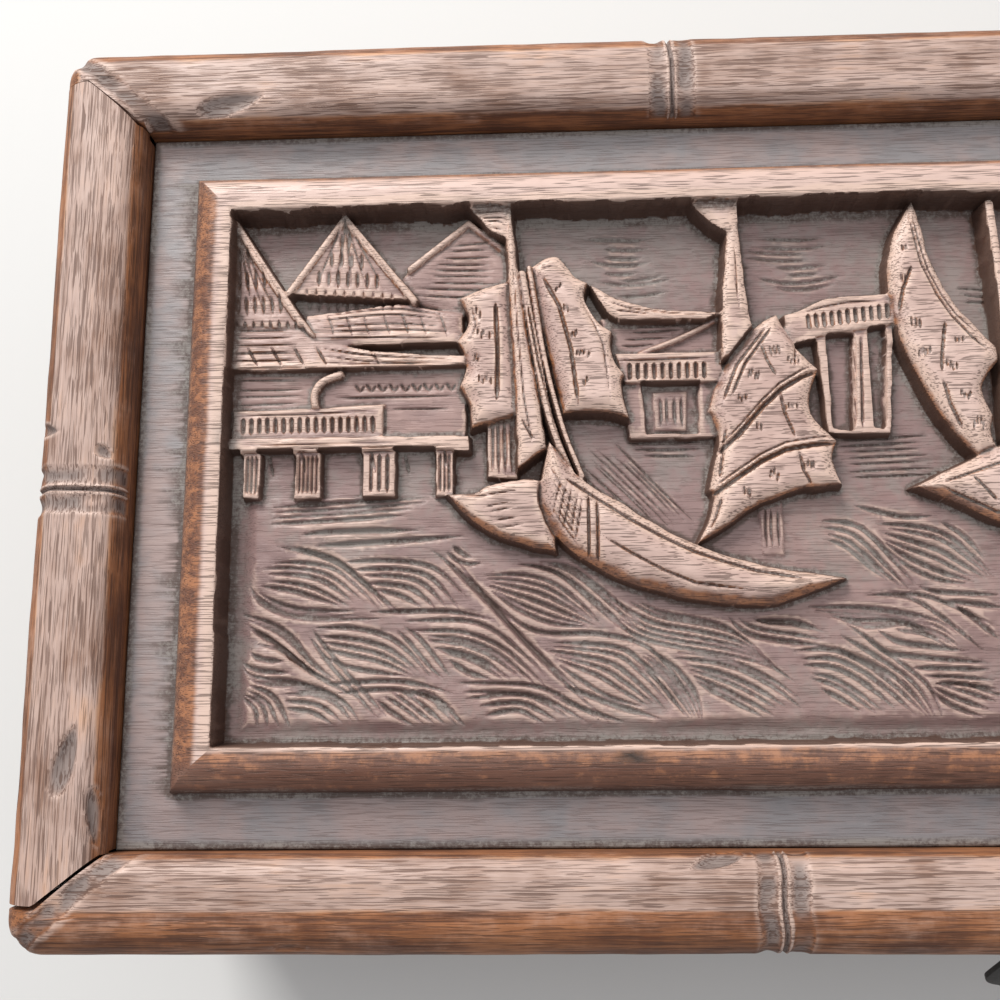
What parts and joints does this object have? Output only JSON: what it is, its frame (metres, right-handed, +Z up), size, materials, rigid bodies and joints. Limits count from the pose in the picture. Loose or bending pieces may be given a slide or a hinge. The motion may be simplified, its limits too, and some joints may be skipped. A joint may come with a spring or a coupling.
{
  "type": "keepsake box",
  "caption": "Long low hardwood box with a hinged lid carved with sailing boats, framed in bamboo-form rails, with a hasp and staple in front.",
  "frame": {"origin": "centre of the underside, in the plane the box rests on", "axes": "+X along the box to the right, +Y to the hinged back, +Z up"},
  "size_m": [0.325, 0.164, 0.0982],
  "materials": {
    "hardwood": "waxed, open pored",
    "carved_hardwood": "carved, waxed, dark in the hollows",
    "brass": "aged",
    "dark_metal": "dark patina"
  },
  "bodies": {
    "case": {"wall_front": "hardwood", "wall_back": "hardwood", "wall_left": "hardwood", "wall_right": "hardwood", "bottom_board": "hardwood", "base_rail_front": "hardwood", "base_rail_back": "hardwood", "base_rail_left": "hardwood", "base_rail_right": "hardwood", "hinge_left_case_leaf": "brass", "hinge_right_case_leaf": "brass", "hinge_left_pin": "brass", "hinge_right_pin": "brass", "hinge_case_screws": "brass", "staple_plate": "dark_metal", "staple": "dark_metal", "staple_screws": "dark_metal"},
    "lid": {"lid_board": "carved_hardwood", "lid_rail_front": "hardwood", "lid_rail_back": "hardwood", "lid_rail_left": "hardwood", "lid_rail_right": "hardwood", "hinge_left_lid_leaf": "brass", "hinge_right_lid_leaf": "brass", "hinge_lid_screws": "brass", "hasp_leaf": "dark_metal", "hasp_pin": "dark_metal", "hasp_screws": "dark_metal"},
    "hasp": {"hasp_strap": "dark_metal"}
  },
  "joints": [
    {"name": "lid_open", "type": "hinge", "parent": "case", "child": "lid", "pos_m": [0, 0.07186, 0.0821], "axis": [-1, 0, 0], "range_deg": [0, 100]},
    {"name": "hasp_swing", "type": "hinge", "parent": "lid", "child": "hasp", "pos_m": [0, -0.07675, 0.0841], "axis": [-1, 0, 0], "range_deg": [-27.5, 149]}
  ]
}
